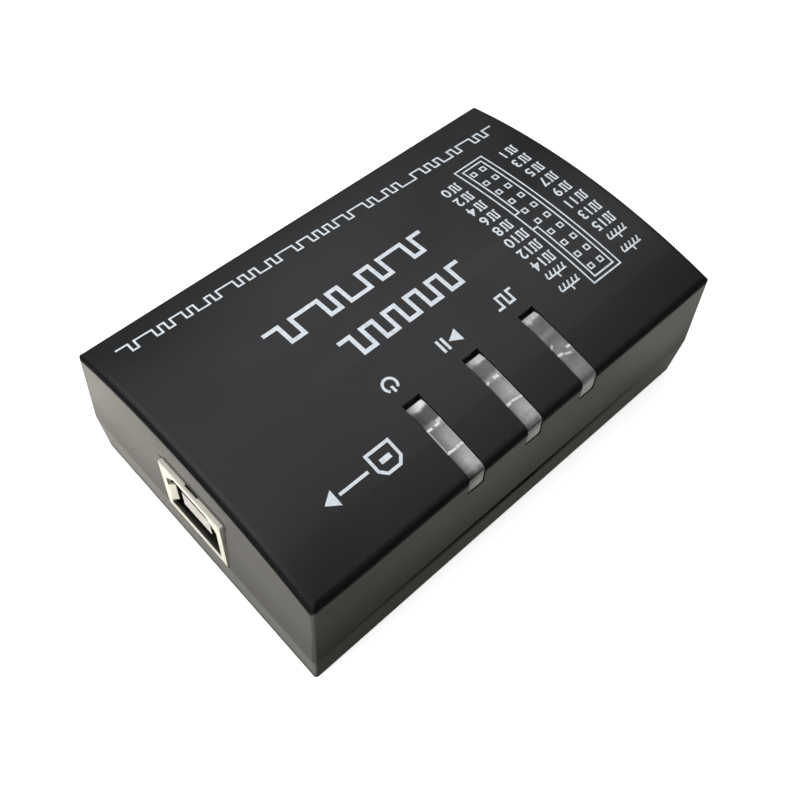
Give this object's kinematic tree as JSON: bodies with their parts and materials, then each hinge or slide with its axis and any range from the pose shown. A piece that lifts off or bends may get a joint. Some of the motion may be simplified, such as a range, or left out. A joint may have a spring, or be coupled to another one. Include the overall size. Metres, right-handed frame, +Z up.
{
  "type": "logic analyzer",
  "caption": "Palm-sized USB logic analyzer: two-part moulded case with an arched roof, light pipes over one edge, a type B socket and a boxed probe header.",
  "frame": {"origin": "centre of the flat underside", "axes": "+X from the USB end to the probe header end, +Y away from the light pipes, +Z up through the roof"},
  "size_m": [0.072, 0.0462, 0.025],
  "materials": {
    "case_plastic": "fine matt moulded texture",
    "screw_steel": "black oxide",
    "solder_mask": "glossy solder mask over glass fibre",
    "nickel_plate": "bright nickel plate",
    "socket_plastic": "satin moulding",
    "gold_plate": "gold flash on brass",
    "header_plastic": "satin moulding",
    "light_pipe": "clear acrylic with a frosted inside",
    "led_white": "clear resin on white substrate",
    "chip_epoxy": "moulded epoxy with tinned leads",
    "can_steel": "drawn steel can",
    "fuse_green": "satin",
    "tantalum_yellow": "moulded",
    "resistor_black": "glazed ceramic",
    "ceramic_tan": "ceramic with tinned ends"
  },
  "bodies": {
    "root": {"upper_shell": "case_plastic", "lower_shell": "case_plastic", "case_screws": "screw_steel", "main_board": "solder_mask", "usb_receptacle_shell": "nickel_plate", "usb_receptacle_insulator": "socket_plastic", "usb_contacts": "gold_plate", "header_shroud": "header_plastic", "header_pins": "gold_plate", "light_pipe_power": "light_pipe", "light_pipe_run": "light_pipe", "light_pipe_status": "light_pipe", "led_power": "led_white", "led_run": "led_white", "led_status": "led_white", "usb_controller_chip": "chip_epoxy", "logic_chip": "chip_epoxy", "configuration_memory": "chip_epoxy", "crystal": "can_steel", "voltage_regulator": "chip_epoxy", "resettable_fuse": "fuse_green", "bulk_capacitors": "tantalum_yellow", "input_resistor_networks": "resistor_black", "input_protection_arrays": "chip_epoxy", "ceramic_capacitors": "ceramic_tan"}
  },
  "joints": []
}
